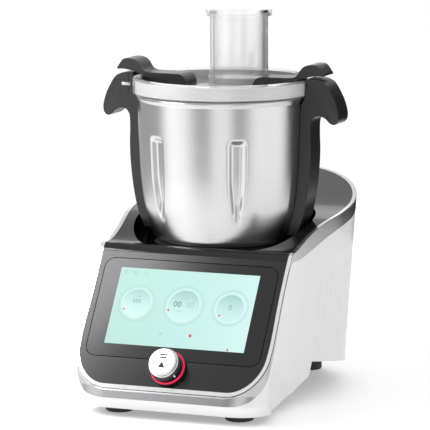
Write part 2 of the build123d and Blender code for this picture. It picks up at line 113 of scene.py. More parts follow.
def mesh_object(name, points, faces, smooth=True):
    """A mesh object from points in mm."""
    mesh = bpy.data.meshes.new(name)
    mesh.from_pydata([tuple(c * MM for c in p) for p in points], [], faces)
    mesh.validate()
    build = bmesh.new()
    build.from_mesh(mesh)
    bmesh.ops.recalc_face_normals(build, faces=build.faces)
    build.to_mesh(mesh)
    build.free()
    for polygon in mesh.polygons:
        polygon.use_smooth = smooth
    thing = bpy.data.objects.new(name, mesh)
    bpy.context.scene.collection.objects.link(thing)
    return thing


def grid_faces(rows, cols, closed=True):
    """Quads of a grid stored row by row; closed joins the last column to the first."""
    last = cols if closed else cols - 1
    return [(r * cols + c, r * cols + (c + 1) % cols, (r + 1) * cols + (c + 1) % cols, (r + 1) * cols + c)
            for r in range(rows - 1) for c in range(last)]


def loop_faces(rows, cols):
    """Faces of a closed tube whose last row joins the first."""
    last = (rows - 1) * cols
    closing = [(last + c, last + (c + 1) % cols, (c + 1) % cols, c) for c in range(cols)]
    return grid_faces(rows, cols) + closing


def sharpen(thing, angle):
    """Keep edges sharp where the faces meet at more than an angle in degrees."""
    thing.data.set_sharp_from_angle(angle=radians(angle))


def piece(thing, body, material, replaced=()):
    """Give an object its material, the body that it rides on and the CAD nodes that it replaces."""
    thing.data.materials.clear()
    thing.data.materials.append(material)
    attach(thing, body)
    if replaced:
        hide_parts(*replaced)
    return thing


# ------------------------------------------------------------------ materials
def material(name, **sockets):
    """A principled material; its uniform values are set on the shader's own sockets."""
    made = bpy.data.materials.new(name)
    made.use_nodes = True
    shader = made.node_tree.nodes["Principled BSDF"]
    for socket, value in sockets.items():
        shader.inputs[socket.replace("_", " ")].default_value = value
    return made


def texture(made, scale, stretch=(1, 1, 1), detail=4.0, kind="ShaderNodeTexNoise"):
    """A noise texture in object space; scale is in cycles per metre."""
    tree = made.node_tree
    place = tree.nodes.new("ShaderNodeTexCoord")
    mapping = tree.nodes.new("ShaderNodeMapping")
    mapping.inputs["Scale"].default_value = stretch
    noise = tree.nodes.new(kind)
    noise.inputs["Scale"].default_value = scale
    if "Detail" in noise.inputs:
        noise.inputs["Detail"].default_value = detail
    tree.links.new(place.outputs["Object"], mapping.inputs["Vector"])
    tree.links.new(mapping.outputs["Vector"], noise.inputs["Vector"])
    return noise


def spread(made, source, low, high, socket):
    """Drive a shader socket between two values by a texture."""
    tree = made.node_tree
    scale = tree.nodes.new("ShaderNodeMapRange")
    scale.inputs["From Min"].default_value = 0.3
    scale.inputs["From Max"].default_value = 0.7
    scale.inputs["To Min"].default_value = low
    scale.inputs["To Max"].default_value = high
    tree.links.new(source, scale.inputs["Value"])
    tree.links.new(scale.outputs["Result"], tree.nodes["Principled BSDF"].inputs[socket])


def relief(made, source, strength, distance=0.0002):
    tree = made.node_tree
    bump = tree.nodes.new("ShaderNodeBump")
    bump.inputs["Strength"].default_value = strength
    bump.inputs["Distance"].default_value = distance
    tree.links.new(source, bump.inputs["Height"])
    tree.links.new(bump.outputs["Normal"], tree.nodes["Principled BSDF"].inputs["Normal"])


def tint(made, source, low, high):
    """Base colour between two colours, by a texture."""
    tree = made.node_tree
    ramp = tree.nodes.new("ShaderNodeValToRGB")
    ramp.color_ramp.elements[0].position = 0.3
    ramp.color_ramp.elements[1].position = 0.7
    ramp.color_ramp.elements[0].color = (*low, 1)
    ramp.color_ramp.elements[1].color = (*high, 1)
    tree.links.new(source, ramp.inputs["Fac"])
    tree.links.new(ramp.outputs["Color"], tree.nodes["Principled BSDF"].inputs["Base Color"])


def moulded(name, colour, rough, vary=0.05, grain=900, bump=0.1, **more):
    """Moulded plastic or rubber: faint mottling, a fine grain and uneven gloss."""
    made = material(name, **more)
    mottle = texture(made, 14).outputs["Fac"]
    fine = texture(made, grain, detail=2.0).outputs["Fac"]
    dim = 1 - 0.5 * vary
    tint(made, mottle, [c * dim for c in colour], [c * (1 + 0.5 * vary) for c in colour])
    spread(made, fine, rough * 0.85, rough * 1.15, "Roughness")
    relief(made, fine, bump, 0.00005)
    return made


def metal(name, colour, rough, stretch=(1, 1, 1), lines=500, bump=0.1, **more):
    """Bare or plated metal with fine lines or grain."""
    made = material(name, Metallic=1.0, **more)
    fine = texture(made, lines, stretch, detail=3.0).outputs["Fac"]
    tint(made, fine, [c * 0.96 for c in colour], [min(c * 1.03, 1) for c in colour])
    spread(made, fine, rough * 0.85, rough * 1.15, "Roughness")
    relief(made, fine, bump, 0.00004)
    return made


def glowing(name, colour, strength=1.0):
    made = material(name, Roughness=0.35, Emission_Strength=strength)
    noise = texture(made, 60).outputs["Fac"]
    tree = made.node_tree
    ramp = tree.nodes.new("ShaderNodeValToRGB")
    ramp.color_ramp.elements[0].color = (*[c * 0.97 for c in colour], 1)
    ramp.color_ramp.elements[1].color = (*colour, 1)
    tree.links.new(noise, ramp.inputs["Fac"])
    tree.links.new(ramp.outputs["Color"], tree.nodes["Principled BSDF"].inputs["Emission Color"])
    tree.nodes["Principled BSDF"].inputs["Base Color"].default_value = (*[c * 0.1 for c in colour], 1)
    return made


def brushed_round(name, colour, rough, anisotropy):
    """Metal brushed round an upright axis: fine level lines, and highlights drawn out upwards."""
    made = material(name, Metallic=1.0, Anisotropic=anisotropy, Anisotropic_Rotation=0.25)
    tree = made.node_tree
    lines = texture(made, 1.0, (25, 25, 2600), detail=3.0).outputs["Fac"]
    cloud = texture(made, 16).outputs["Fac"]
    tint(made, cloud, [c * 0.95 for c in colour], colour)
    spread(made, lines, rough * 0.9, rough * 1.1, "Roughness")
    relief(made, lines, 0.05, 0.00003)
    tangent = tree.nodes.new("ShaderNodeTangent")
    tangent.direction_type = "RADIAL"
    tangent.axis = "Z"
    tree.links.new(tangent.outputs["Tangent"], tree.nodes["Principled BSDF"].inputs["Tangent"])
    return made


def clear(name, rough, clarity=1.0):
    """Clear moulded plastic with faint flow marks."""
    made = material(name, Base_Color=(1.0, 1.0, 1.0, 1), Transmission_Weight=clarity, IOR=1.45)
    flow = texture(made, 30, (1, 1, 0.3)).outputs["Fac"]
    spread(made, flow, rough * 0.6, rough * 1.6, "Roughness")
    relief(made, flow, 0.05, 0.0004)
    return made


WHITE = moulded("white_plastic", (0.75, 0.75, 0.75), 0.32, vary=0.01, grain=1500, bump=0.03, Coat_Weight=0.25)
SILVER = metal("satin_silver", (0.44, 0.44, 0.45), 0.22, (1, 1, 6), 300)
CHROME = metal("bright_trim", (0.88, 0.88, 0.89), 0.10, (1, 1, 1), 200, bump=0.02)
DECK_RIM = metal("deck_trim", (0.80, 0.80, 0.81), 0.2, (1, 1, 1), 250, bump=0.03)
DECK = moulded("deck_gloss", (0.006, 0.006, 0.006), 0.07, vary=0.2, grain=1200, bump=0.004)
LIP = moulded("lip_gloss", (0.003, 0.003, 0.003), 0.06, grain=1200, bump=0.004)
BEZEL = moulded("bezel_gloss", (0.003, 0.003, 0.003), 0.17, vary=0.2, grain=700, bump=0.006)
GLASS = moulded("display_glass", (0.003, 0.003, 0.003), 0.14, vary=0.1, grain=900, bump=0.002)
GRIP = moulded("dark_grip", (0.014, 0.014, 0.015), 0.3, vary=0.1, grain=1600, bump=0.08)
BLACK = moulded("black_plastic", (0.014, 0.014, 0.015), 0.45, grain=1400, bump=0.1)
KNOB_BLACK = moulded("knob_gloss", (0.008, 0.008, 0.009), 0.2, grain=900, bump=0.02)
RUBBER = moulded("seal_rubber", (0.018, 0.018, 0.019), 0.6, grain=1100, bump=0.2)
FOOT = moulded("foot_rubber", (0.012, 0.012, 0.013), 0.55, grain=900, bump=0.2)
BOARD = moulded("circuit_green", (0.02, 0.16, 0.07), 0.35, vary=0.3)
STEEL = metal("plain_steel", (0.55, 0.55, 0.56), 0.25, (1, 1, 8), 300)
BOWL_STEEL = brushed_round("bowl_steel", (0.60, 0.60, 0.60), 0.24, 0.75)
KNOB_METAL = metal("knob_metal", (0.74, 0.74, 0.75), 0.24, (8, 1, 1), 300)
MOTOR = metal("motor_steel", (0.30, 0.30, 0.31), 0.4, (1, 1, 20), 200)
CAST = metal("cast_aluminium", (0.52, 0.52, 0.53), 0.45, (1, 1, 1), 500, bump=0.2)
BRASS = metal("brass_contact", (0.72, 0.55, 0.25), 0.3)
CLEAR = clear("clear_plastic", 0.02)
LID_CLEAR = clear("clear_lid", 0.03, 0.86)
LINER = moulded("lid_liner", (0.86, 0.865, 0.865), 0.3, vary=0.02, grain=500, bump=0.02)
SILICONE = moulded("seal_silicone", (0.55, 0.555, 0.555), 0.35, vary=0.02, Transmission_Weight=0.4, IOR=1.41)
RED = glowing("red_light", (0.80, 0.015, 0.08), 1.0)

NODE_MATERIALS = {
    "side_trim": SILVER, "front_ribbon": CHROME, "deck_ribbon": DECK_RIM, "deck_cover": DECK,
    "front_lip": LIP, "front_bezel": BEZEL, "display_glass": GLASS, "display_board": BOARD,
    "main_board": BOARD,
    "knob_light_ring": RED, "knob_cap": KNOB_METAL, "knob_top": KNOB_METAL, "knob_skirt": KNOB_BLACK,
    "knob_collar": KNOB_BLACK,
    "encoder_shaft": STEEL, "coupling_seal": RUBBER, "spindle_housing": CAST, "spindle_bearings": STEEL,
    "spindle_shaft": STEEL, "drive_coupling": CAST, "driven_pulley": CAST, "drive_belt": RUBBER,
    "motor_stator": MOTOR, "motor_bearings": STEEL, "motor_shaft": STEEL, "motor_pulley": STEEL,
    "motor_bracket": CAST, "load_cells": CAST, "feet": FOOT, "rear_vent": WHITE, "housing_screws": STEEL,
    "heater_plate": CAST, "bowl_contacts": BRASS, "handle_left": GRIP, "handle_right": GRIP,
    "latch_pin": STEEL, "blade_shaft": STEEL, "blade_set": STEEL, "lid_cover": LID_CLEAR,
    "lid_seal": SILICONE, "lid_arm_left": GRIP, "lid_arm_right": GRIP, "arm_screws": STEEL,
    "measuring_cup": CLEAR, "housing_shell": WHITE, "bowl_shell": BOWL_STEEL, "bowl_seat": LIP,
}
for name, node in nodes.items():
    chosen = NODE_MATERIALS.get(name, BLACK)
    node.data.materials.clear()
    node.data.materials.append(chosen)


# ------------------------------------------------------------------ white housing wall with flutes
band_front, band_rear = curve_through(BAND_FRONT), curve_through(BAND_REAR)


def band_edge(y):
    """Lower edge of the silver band at a depth y."""
    (y0, z0), (y1, z1), (y2, z2) = BAND_FRONT[-1], BAND_TURN, BAND_REAR[0]
    if y < y0:
        return band_front(y)
    if y > y2:
        return band_rear(y)
    bend = y0 - 2 * y1 + y2
    t = (y0 - y1 + sqrt((y1 - y0) ** 2 + bend * (y - y0))) / bend
    return (1 - t) ** 2 * z0 + 2 * t * (1 - t) * z1 + t * t * z2


def level_at(z):
    """Front face and corner radii of the plan at one height."""
    for low, high in zip(LEVELS, LEVELS[1:]):
        if z <= high[0] or high is LEVELS[-1]:
            t = min(max((z - low[0]) / (high[0] - low[0]), 0), 1)
            return [a + (b - a) * t for a, b in zip(low[1:], high[1:])]


def plan_point(kind, t, z, inset):
    """Point on the right half of the plan outline; kind is the stretch and t runs along it."""
    front, corner_x, corner_y = level_at(z)
    front, corner_x, corner_y = front + 0.6 * inset, corner_x - inset, corner_y - 0.6 * inset
    widths = [low + (wide - low) * z / top - inset for _, top, wide, low in SIDE]
    rear = REAR_FLOOR_R + (REAR_R - REAR_FLOOR_R) * z / REAR_TOP - inset
    if kind == "front":
        return (widths[0] - corner_x) * t, front
    if kind == "corner":
        pull, x1, y1 = 0.45, widths[0], front + corner_y
        weights = ((1 - t) ** 3, 3 * t * (1 - t) ** 2, 3 * t * t * (1 - t), t**3)
        xs = (x1 - corner_x, x1 - pull * corner_x, x1, x1)
        ys = (front, front, front + pull * corner_y, y1)
        return sum(w * x for w, x in zip(weights, xs)), sum(w * y for w, y in zip(weights, ys))
    if kind == "side":
        start = front + corner_y
        side = curve_through([(start - 20, widths[0]), (start, widths[0])]
                             + [(s[0], w) for s, w in zip(SIDE[1:], widths[1:])]
                             + [(REAR_Y, rear), (REAR_Y + 20, rear)])
        y = start + (REAR_Y - start) * t
        return side(y), y
    return rear * cos(t * pi / 2), REAR_Y + rear * sin(t * pi / 2)


FLUTE_PITCH, FLUTE_DEEP = 11.5, 1.1
FLUTE_START = -8.0                # depth y of the first flute on each side
REAR_MID_R = 114.0                # radius at which the flutes are spaced round the rear


def flute(along, z, top):
    """Depth of the flutes: cusped ribs along the wall, faded at both ends."""
    if along < 0:
        return 0.0
    shape = abs(sin(pi * along / FLUTE_PITCH))
    low_end = 47 + 14 * smoothstep(20, 150, along)
    fade = smoothstep(low_end, low_end + 10, z) * (1 - smoothstep(top - 46, top - 26, z))
    return FLUTE_DEEP * shape * fade * smoothstep(0, 6, along)


def half_columns():
    """Columns of the right half, from the middle of the front to the middle of the rear."""
    columns = [("front", i / 8) for i in range(8)] + [("corner", i / 16) for i in range(16)]
    columns += [("side", i / 150) for i in range(150)]
    return columns + [("rear", i / 130) for i in range(131)]


def wall_column(kind, t, side, rows, inset, fluted):
    """One column of wall points, from the underside to the band."""
    def at(z):
        x, y = plan_point(kind, t, z, inset)
        return x, y

    top = bottom = 60.0
    for _ in range(12):
        top = 0.5 * top + 0.5 * band_edge(at(top)[1])
        bottom = straight(UNDERSIDE, at(bottom)[1])
    points = []
    for i in range(rows + 1):
        z = bottom + (top - bottom) * i / rows
        x, y = at(z)
        if fluted and kind in ("side", "rear"):
            along = y - FLUTE_START if kind == "side" else REAR_Y - FLUTE_START + t * pi / 2 * REAR_MID_R
            centre = Vector((0, REAR_Y)) if kind == "rear" else Vector((0, y))
            inward = (centre - Vector((x, y))).normalized() * flute(along, z, top)
            x, y = x + inward.x, y + inward.y
        points.append((side * x, y, z))
    return points


def housing_wall():
    rows = 72
    half = half_columns()
    loop = [(k, t, 1) for k, t in half] + [(k, t, -1) for k, t in reversed(half[1:-1])]
    outer = [wall_column(k, t, s, rows, SHELL_INSET, True) for k, t, s in loop]
    inner = [wall_column(k, t, s, rows, SHELL_INSET + WALL, False) for k, t, s in loop]
    count = len(loop)
    points = [outer[c][r] for r in range(rows + 1) for c in range(count)]
    points += [inner[c][r] for r in range(rows, -1, -1) for c in range(count)]
    return mesh_object("housing_wall", points, loop_faces(2 * rows + 2, count))


def cut(thing, cutters):
    """Cut holes with closed meshes and apply the result."""
    for cutter in cutters:
        step = thing.modifiers.new("cut", "BOOLEAN")
        step.operation = "DIFFERENCE"
        step.solver = "EXACT"
        step.object = cutter
    bpy.context.view_layer.update()
    result = bpy.data.meshes.new_from_object(thing.evaluated_get(bpy.context.evaluated_depsgraph_get()))
    thing.modifiers.clear()
    thing.data = result
    for cutter in cutters:
        bpy.data.objects.remove(cutter)


def box_mesh(low, high, turn=0.0):
    """A box turned about the axis of the round rear."""
    corners = [(x, y, z) for z in (low[2], high[2]) for y in (low[1], high[1]) for x in (low[0], high[0])]
    spun = [(x * cos(turn) + y * sin(turn), REAR_Y - x * sin(turn) + y * cos(turn), z) for x, y, z in corners]
    faces = [(0, 1, 3, 2), (4, 5, 7, 6), (0, 1, 5, 4), (2, 3, 7, 6), (0, 2, 6, 4), (1, 3, 7, 5)]
    return mesh_object("cutter", spun, faces)


INLET_HOLE = ((-16, 86, 40), (16, 125, 62))
ROCKER_HOLE = ((-8.5, 80, 40), (8.5, 120, 62), radians(26))
VENT_HOLE = ((-20, 90, 60), (20, 120, 92), radians(-26))
wall = housing_wall()
cut(wall, [box_mesh(*hole) for hole in (INLET_HOLE, ROCKER_HOLE, VENT_HOLE)])
sharpen(wall, 30)
piece(wall, "base", WHITE, ["housing_shell"])

GAP_SHADE_R = 0.36                     # radius of the black tube that paints the shade in the gap
GAP_SHADE_END = -88                    # depth y at which it ends, where the front block meets the deck


def gap_shade_line():
    """Thin black tube that paints the shade in the gap between the bright ribbon and the silver band, round
    the front block.
    """
    half = []
    columns = [("front", i / 6) for i in range(6)] + [("corner", i / 16) for i in range(16)]
    columns += [("side", i / 60) for i in range(61)]
    for kind, t in columns:
        z = 60.0
        for _ in range(30):
            x, y = plan_point(kind, t, z, 0.45)
            z = 0.5 * z + 0.5 * (SCREEN_CENTRE.z + (y - SCREEN_CENTRE.y) * sin(PANEL_TILT) / cos(PANEL_TILT))
        if y > GAP_SHADE_END:
            break
        half.append((x, y, z - 0.35))
    line = [(-x, y, z) for x, y, z in reversed(half[1:])] + half
    points, sides = [], 8
    for x, y, z in line:
        for c in range(sides):
            a = 2 * pi * c / sides
            out = Vector((x, y + 90, 0)).normalized() * GAP_SHADE_R * cos(a)
            points.append((x + out.x, y + out.y, z + GAP_SHADE_R * sin(a)))
    faces = grid_faces(len(line), sides)
    faces += [tuple(range(sides)), tuple((len(line) - 1) * sides + c for c in reversed(range(sides)))]
    return mesh_object("ribbon_gap_shade", points, faces)


# Painted shade: a black tube fills the gap between the bright ribbon and the silver band.
piece(gap_shade_line(), "base", KNOB_BLACK)

# ------------------------------------------------------------------ steel bowl with dents
BOWL_SIDE = [(66, 165.2), (76.5, 172), (81.6, 191), (85.4, 207), (88.5, 232), (90.3, 265), (92, 312)]
STEEL_THICK = 1.2
DENT_ANGLES = (-120, -60, 60, 120)
DENT_LOW, DENT_HIGH, DENT_HALF, DENT_DEEP = 188.0, 281.0, 11.0, 5.0


def bowl_radius(z):
    return curve_through([(z0, r) for r, z0 in BOWL_SIDE[1:]])(z)


def dent(angle, z):
    """How far the wall is pushed in: a trough with a square top that narrows downwards."""
    if not DENT_LOW < z < DENT_HIGH:
        return 0.0
    half = DENT_HALF * (0.5 + 0.5 * smoothstep(DENT_LOW, DENT_HIGH - 40, z))
    fade = smoothstep(DENT_LOW, DENT_LOW + 26, z) * smoothstep(DENT_HIGH, DENT_HIGH - 7, z)
    across = min(abs((angle - radians(middle) + pi) % (2 * pi) - pi) for middle in DENT_ANGLES) * 89
    return DENT_DEEP * fade * smoothstep(half, 0.3 * half, across)


def steel_bowl():
    columns = 480
    profile = [(15.0, BOWL_SIDE[0][1], 0), (40, BOWL_SIDE[0][1], 0), (62, BOWL_SIDE[0][1], 0)]
    for i in range(7):                                # rounded foot
        turn = i / 6 * pi / 2
        profile.append((BOWL_SIDE[0][0] + 10.8 * sin(turn), BOWL_SIDE[0][1] + 8.4 * (1 - cos(turn)), 0))
    steps = 96
    for i in range(1, steps + 1):
        z = 174.0 + (314.0 - 174.0) * i / steps
        profile.append((bowl_radius(z), z, 1))
    for i in range(1, 14):                            # rolled rim
        turn = -0.9 + i / 13 * (pi + 0.9)
        profile.append((92.0 + 2.1 * cos(turn), 317.4 + 2.1 * sin(turn), 0))
    inner = [(r - STEEL_THICK, z, f) for r, z, f in reversed(profile) if f]
    profile.append((90.8, 316.6, 0))
    profile += inner
    profile += [(r - (0.6 if r > 66 else 0.0), z + STEEL_THICK, 0) for r, z, f in reversed(profile[:10])]
    points = []
    for r, z, follow in profile:
        for c in range(columns):
            angle = 2 * pi * c / columns
            reach = r - (dent(angle, z) if follow else 0)
            points.append((reach * cos(angle), reach * sin(angle), z))
    return mesh_object("steel_bowl", points, loop_faces(len(profile), columns))


bowl = steel_bowl()
sharpen(bowl, 40)
piece(bowl, "bowl", BOWL_STEEL, ["bowl_shell"])


# ------------------------------------------------------------------ handles and lid arms
HANDLE = [(98.4, 339.4), (110, 339.2), (119, 334.7), (124.8, 324.8), (129.9, 314.8), (133.2, 301.4),
          (131.6, 294.6), (127.5, 291.8), (122.6, 294.0), (118.6, 298.6), (111, 302), (105, 300.6),
          (102, 295), (101.6, 280), (102.4, 262), (101.2, 240), (98.4, 216), (94, 194), (86, 174.2)]
ARM = [(37, 327.2), (37.5, 331.5), (39.5, 335.5), (43, 338.2), (47.5, 339.4), (82, 339.4), (86.5, 341.5),
       (91.5, 350), (97, 353.4), (104, 354.1), (109.7, 353.4), (114, 347), (117.6, 341.9), (109.3, 342.8),
       (102.6, 341.6), (97, 340.8), (90, 338.6), (86.8, 337.4), (86.8, 327.2)]


def corner_cut(points, times=2):
    """Round an open line of points by cutting its corners; the ends stay."""
    for _ in range(times):
        rounded = [points[0]]
        for (x0, z0), (x1, z1) in zip(points, points[1:]):
            rounded += [(x0 + (x1 - x0) * t, z0 + (z1 - z0) * t) for t in (0.25, 0.75)]
        points = rounded + [points[-1]]
    return points


def rounded_slab(name, outline, half, radius, side, hug=None):
    """An upright slab from an (x, z) outline, with rounded edges; hug bends its inner face."""
    count = len(outline)
    slab = bmesh.new()
    front = [slab.verts.new((x, -half, z)) for x, z in outline]
    back = [slab.verts.new((x, half, z)) for x, z in outline]
    slab.faces.new(front)
    slab.faces.new(back[::-1])
    for i in range(count):
        j = (i + 1) % count
        slab.faces.new((front[i], back[i], back[j], front[j]))
    rims = [e for e in slab.edges if abs(e.verts[0].co.y - e.verts[1].co.y) < 1e-6]
    bmesh.ops.bevel(slab, geom=rims, offset=radius, segments=4, profile=0.5, affect="EDGES",
                    clamp_overlap=True)
    points = []
    for vert in slab.verts:
        x, y, z = vert.co
        if hug:
            x -= hug(x, y, z)
        points.append((side * x, y, z))
    slab.verts.index_update()
    faces = [tuple(v.index for v in f.verts) for f in slab.faces]
    slab.free()
    thing = mesh_object(name, points, faces)
    sharpen(thing, 32)
    return thing


def handle_hug(x, y, z):
    """How far the inner face bends inwards at its edges to follow the bowl."""
    reach = bowl_radius(min(z, 312)) + 0.3
    near = smoothstep(reach + 9, reach + 3, x)
    return near * (reach - sqrt(reach * reach - y * y))


HALF_WIDTH, GRIP_ROUND, ARM_ROUND = 14.9, 2.6, 2.2
HUG_HEIGHTS = (174.2, 182, 191, 200, 210, 222, 235, 250, 268, 288, 302, 312)
inner_side = [(bowl_radius(z) + 0.4, z) for z in HUG_HEIGHTS]
inner_side += [(95.0, 314.5), (95.4, 318), (97.9, 321), (98.2, 330)]
for side, word in ((1, "right"), (-1, "left")):
    grip = rounded_slab("grip_" + word, corner_cut(HANDLE) + inner_side, HALF_WIDTH, GRIP_ROUND, side,
                        handle_hug)
    piece(grip, "bowl", GRIP, ["handle_" + word])
    arm = rounded_slab("arm_" + word, corner_cut(ARM[:-1]) + ARM[-1:], HALF_WIDTH, ARM_ROUND, side)
    piece(arm, "lid", GRIP, ["lid_arm_" + word])


def turned_piece(name, profile, steps=240):
    """A closed (radius, height) profile turned about the bowl's axis."""
    turns = [2 * pi * c / steps for c in range(steps)]
    points = [(r * cos(a), r * sin(a), z) for r, z in profile for a in turns]
    return mesh_object(name, points, loop_faces(len(profile), steps))


liner = turned_piece("lid_liner", [(91.0, 321.6), (93.9, 321.6), (94.1, 322.2), (94.1, 333.9), (93.6, 334.6),
                                   (91.4, 334.6), (90.9, 333.9), (90.9, 322.2)])
sharpen(liner, 40)
piece(liner, "lid", LINER)


def box_piece(name, low, high, radius=0.3):
    """A small block with rounded edges."""
    block = bmesh.new()
    bmesh.ops.create_cube(block, size=1.0)
    for vert in block.verts:
        vert.co = Vector([a + (b - a) * (c + 0.5) for a, b, c in zip(low, high, vert.co)])
    bmesh.ops.bevel(block, geom=list(block.edges), offset=radius, segments=2, profile=0.5, affect="EDGES")
    block.verts.index_update()
    points, faces = [tuple(v.co) for v in block.verts], [tuple(v.index for v in f.verts) for f in block.faces]
    block.free()
    return mesh_object(name, points, faces)


latch_bar = box_piece("latch_bar", (-110.6, -16.2, 325.2), (-100.8, -15.0, 328.4))
piece(latch_bar, "bowl", STEEL, ["latch_pin"])
# Painted shade: a thin black slab stands for the shade inside the upright slit at the latch bar.
latch_slit_shade = box_piece("latch_slit_shade", (-104.2, -15.2, 315.5), (-103.2, -14.8, 338.5), 0.1)
piece(latch_slit_shade, "bowl", KNOB_BLACK)

# ------------------------------------------------------------------ flat shapes on the panel
def plate_on_panel(name, outline, low, high):
    """A thin plate with a given outline, in panel coordinates."""
    points = [panel(u, v, low) for u, v in outline] + [panel(u, v, high) for u, v in outline]
    count = len(outline)
    faces = [tuple(range(count - 1, -1, -1)), tuple(range(count, 2 * count))]
    faces += [(c, (c + 1) % count, count + (c + 1) % count, count + c) for c in range(count)]
    return mesh_object(name, points, faces, smooth=False)


def join(name, things):
    """One object out of several."""
    whole = bmesh.new()
    for thing in things:
        whole.from_mesh(thing.data)
        bpy.data.objects.remove(thing)
    mesh = bpy.data.meshes.new(name)
    whole.to_mesh(mesh)
    whole.free()
    made = bpy.data.objects.new(name, mesh)
    bpy.context.scene.collection.objects.link(made)
    return made


def oval_ring(name, centre, outer, inner, low, high, steps=72):
    """A flat ring on the panel; outer and inner are its half widths across and up."""
    turns = [2 * pi * i / steps for i in range(steps)]
    points = []
    for (across, up), h in ((outer, low), (outer, high), (inner, high), (inner, low)):
        points += [panel(centre[0] + across * sin(a), centre[1] + up * cos(a), h) for a in turns]
    return mesh_object(name, points, loop_faces(4, steps))


def disc_outline(u, v, radius, steps=40):
    turns = [2 * pi * i / steps for i in range(steps)]
    return [(u + radius * cos(a), v + radius * sin(a)) for a in turns]


def bar(u, v, width, height):
    return [(u - width / 2, v - height / 2), (u + width / 2, v - height / 2),
            (u + width / 2, v + height / 2), (u - width / 2, v + height / 2)]


IMAGE_FACE = GLASS_FACE + 0.12
IMAGE_TOP = IMAGE_FACE + 0.06


def lit_material(name, rough, axis, reach, colours):
    """A lit surface whose colour runs through (position, colour) steps between two places on one axis."""
    made = material(name, Roughness=rough, Emission_Strength=1.0, Base_Color=(0.02, 0.03, 0.03, 1))
    tree = made.node_tree
    place = tree.nodes.new("ShaderNodeTexCoord")
    split = tree.nodes.new("ShaderNodeSeparateXYZ")
    scale = tree.nodes.new("ShaderNodeMapRange")
    scale.inputs["From Min"].default_value, scale.inputs["From Max"].default_value = reach
    ramp = tree.nodes.new("ShaderNodeValToRGB")
    first, middle, last = colours
    ramp.color_ramp.elements[0].color = (*first, 1)
    ramp.color_ramp.elements[1].color = (*last, 1)
    ramp.color_ramp.elements.new(middle[0]).color = (*middle[1], 1)
    tree.links.new(place.outputs["Object"], split.inputs["Vector"])
    tree.links.new(split.outputs[axis], scale.inputs["Value"])
    tree.links.new(scale.outputs["Result"], ramp.inputs["Fac"])
    tree.links.new(ramp.outputs["Color"], tree.nodes["Principled BSDF"].inputs["Emission Color"])
    return made


# Mint green that grows paler to the right
LIT_DISPLAY = lit_material("lit_display", 0.25, "X", (-SCREEN_W / 2 * MM, SCREEN_W / 2 * MM),
                           ((0.36, 0.62, 0.55), (0.45, (0.45, 0.73, 0.67)), (0.60, 0.84, 0.80)))
piece(plate_on_panel("display_image", bar(0, 0, SCREEN_W, SCREEN_H), GLASS_FACE, IMAGE_FACE),
      "base", LIT_DISPLAY)

DIALS = [((-51.5, 3.5), 15.6), ((1.0, 4.0), 17.2), ((52.0, 5.0), 14.8)]
DIAL_LIGHT = glowing("dial_light", (0.60, 0.82, 0.78))
DIAL_HALO = glowing("dial_halo", (0.42, 0.68, 0.63))
DIAL_DARK = glowing("dial_dark", (0.06, 0.15, 0.14))
DIAL_GREY = glowing("dial_grey", (0.17, 0.30, 0.28))
DIAL_FAINT = glowing("dial_faint", (0.32, 0.52, 0.49))
DOT_RED = glowing("dot_red", (0.60, 0.05, 0.04))


# Face of a dial: shaded at the top, pale at the bottom
DIAL_MIDDLE, DIAL_REACH = panel(0, 4).z * MM, 0.014
DIAL_FACE = lit_material("dial_face", 0.3, "Z", (DIAL_MIDDLE - DIAL_REACH, DIAL_MIDDLE + DIAL_REACH),
                         ((0.56, 0.81, 0.77), (0.5, (0.48, 0.74, 0.69)), (0.30, 0.53, 0.48)))
LAYER = 0.02                      # thickness of the shapes on the display

faces_on_dials = [plate_on_panel("dial", disc_outline(*centre, radius, 64), IMAGE_FACE, IMAGE_FACE + LAYER)
                  for centre, radius in DIALS]
piece(join("dial_faces", faces_on_dials), "base", DIAL_FACE)
for name, inner, outer, paint in (("dial_rims", 0, 1.4, DIAL_LIGHT), ("dial_halos", 3.6, 5.2, DIAL_HALO)):
    rings = [oval_ring("ring", centre, (radius + outer,) * 2, (radius + inner,) * 2,
                       IMAGE_FACE, IMAGE_FACE + LAYER) for centre, radius in DIALS]
    piece(join(name, rings), "base", paint)


def nought(u, v, half_w, half_h, thick):
    """An oval nought on the panel."""
    return oval_ring("nought", (u, v), (half_w, half_h), (half_w - thick, half_h - thick),
                     IMAGE_FACE, IMAGE_TOP, 28)


def digit(u, v, high):
    return nought(u, v, high * 0.30, high * 0.5, high * 0.13)


def mark(u, v, width, height):
    return plate_on_panel("mark", bar(u, v, width, height), IMAGE_FACE, IMAGE_TOP)


dark_marks = [digit(u, 5.6, 6.4) for u in (-8.4, -3.8)]
piece(join("digits_dark", dark_marks), "base", DIAL_DARK)
grey_marks = [digit(u, 6.0, 4.2) for u in (-55.0, -51.8, -48.6)] + [digit(52.0, 5.6, 5.4)]
piece(join("digits_grey", grey_marks), "base", DIAL_GREY)
faint_marks = [digit(u, 5.6, 6.0) for u in (5.8, 10.2)]
faint_marks += [mark(*place, 0.8) for place in ((-51.5, 11.2, 9), (1.5, 12.4, 8), (-51.5, -1.4, 2.2),
                                                (-3, -2.2, 5))]
faint_marks += [nought(-70.5, 37.5, 2.2, 1.7, 0.6), nought(-60.0, 37.5, 2.4, 1.6, 0.6),
                mark(-48.0, 37.8, 3.8, 1.2), mark(-48.0, 36.2, 1.8, 1.2), nought(-17.8, -28.4, 1.3, 1.3, 0.9)]
piece(join("icons_faint", faint_marks), "base", DIAL_FAINT)

DOTS = [(-64.3, -3.9, 1.1), (-14.8, -1.7, 1.2), (42.0, -4.0, 1.1), (15.3, -28.5, 1.8), (59.0, -41.2, 1.2)]
red_dots = [plate_on_panel("dot", disc_outline(*dot), IMAGE_FACE, IMAGE_TOP) for dot in DOTS]
piece(join("status_dots", red_dots), "base", DOT_RED)

# ------------------------------------------------------------------ knob
def turned_on_panel(name, profile, steps=96):
    """A closed (radius, height) profile turned about the knob's axis."""
    points = []
    for radius, h in profile:
        points += [panel(radius * cos(2 * pi * c / steps), KNOB_V + radius * sin(2 * pi * c / steps), h)
                   for c in range(steps)]
    return mesh_object(name, points, loop_faces(len(profile), steps))


